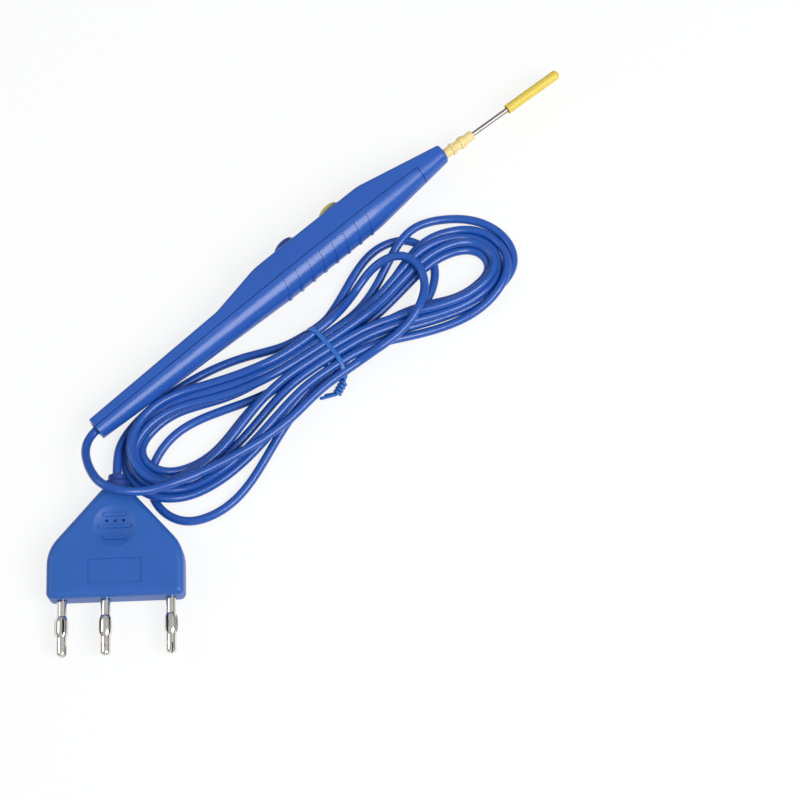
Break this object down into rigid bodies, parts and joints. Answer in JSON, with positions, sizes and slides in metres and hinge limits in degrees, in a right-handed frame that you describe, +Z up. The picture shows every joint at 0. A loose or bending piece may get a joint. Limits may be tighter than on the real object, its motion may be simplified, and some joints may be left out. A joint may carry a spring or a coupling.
{
  "type": "electrosurgical pencil",
  "caption": "Hand-switched electrosurgical pencil with push buttons, a guarded pull-out electrode, a tied hank of cord and a pinned plug.",
  "frame": {"origin": "bottom centre of the pencil without its cord and plug, on the surface that it lies on", "axes": "+X along the handle from the cord end to the tip, +Y towards the buttons, +Z up"},
  "size_m": [0.2341, 0.077, 0.0158],
  "materials": {
    "handle_plastic": "moulded blue ABS with a soft gloss",
    "blue_button": "moulded blue plastic",
    "yellow_button": "moulded pale yellow plastic",
    "hub_plastic": "moulded pale yellow insulation",
    "guard_plastic": "soft yellow tube",
    "cord_jacket": "blue soft jacket with a slight sheen",
    "tie_plastic": "bright blue coated tie",
    "plug_plastic": "moulded blue plastic",
    "boot_rubber": "dark blue soft boot",
    "pin_nickel": "bright nickel plate",
    "electrode_steel": "bright stainless steel",
    "socket_brass": "drawn brass tube",
    "dome_steel": "bright spring steel",
    "board_laminate": "green laminate",
    "wire_insulation": "pale plastic insulation"
  },
  "bodies": {
    "handle": {"handle_upper_shell": "handle_plastic", "handle_lower_shell": "handle_plastic", "circuit_board": "board_laminate", "coag_dome": "dome_steel", "cut_dome": "dome_steel", "cord_block": "cord_jacket", "coag_wire": "wire_insulation", "active_wire": "wire_insulation", "cut_wire": "wire_insulation", "socket_lead": "wire_insulation", "electrode_socket": "socket_brass", "plug_front_shell": "plug_plastic", "plug_rear_shell": "plug_plastic", "cord_boot": "boot_rubber", "cord_hank": "cord_jacket", "cord_tie": "tie_plastic", "handle_lead": "cord_jacket", "plug_lead": "cord_jacket", "plug_pin_left": "pin_nickel", "pin_spring_left": "pin_nickel", "plug_wire_left": "wire_insulation", "plug_pin_middle": "pin_nickel", "pin_spring_middle": "pin_nickel", "plug_wire_middle": "wire_insulation", "plug_pin_right": "pin_nickel", "pin_spring_right": "pin_nickel", "plug_wire_right": "wire_insulation"},
    "coag_button": {"coag_button": "blue_button"},
    "cut_button": {"cut_button": "yellow_button"},
    "electrode": {"electrode_rod": "electrode_steel", "electrode_hub": "hub_plastic"},
    "guard": {"tip_guard": "guard_plastic"}
  },
  "joints": [
    {"name": "coag_press", "type": "slide", "parent": "handle", "child": "coag_button", "axis": [0, -1, 0], "range_m": [0, 0.0006], "stiffness_N_per_m": 3000, "deforming": ["coag_dome"]},
    {"name": "cut_press", "type": "slide", "parent": "handle", "child": "cut_button", "axis": [0, -1, 0], "range_m": [0, 0.0006], "stiffness_N_per_m": 3000, "deforming": ["cut_dome"]},
    {"name": "electrode_pull", "type": "slide", "parent": "handle", "child": "electrode", "axis": [0.9986, -0.0523, 0], "range_m": [0, 0.025]},
    {"name": "guard_pull", "type": "slide", "parent": "electrode", "child": "guard", "axis": [0.9986, -0.0523, 0], "range_m": [0, 0.02]}
  ]
}
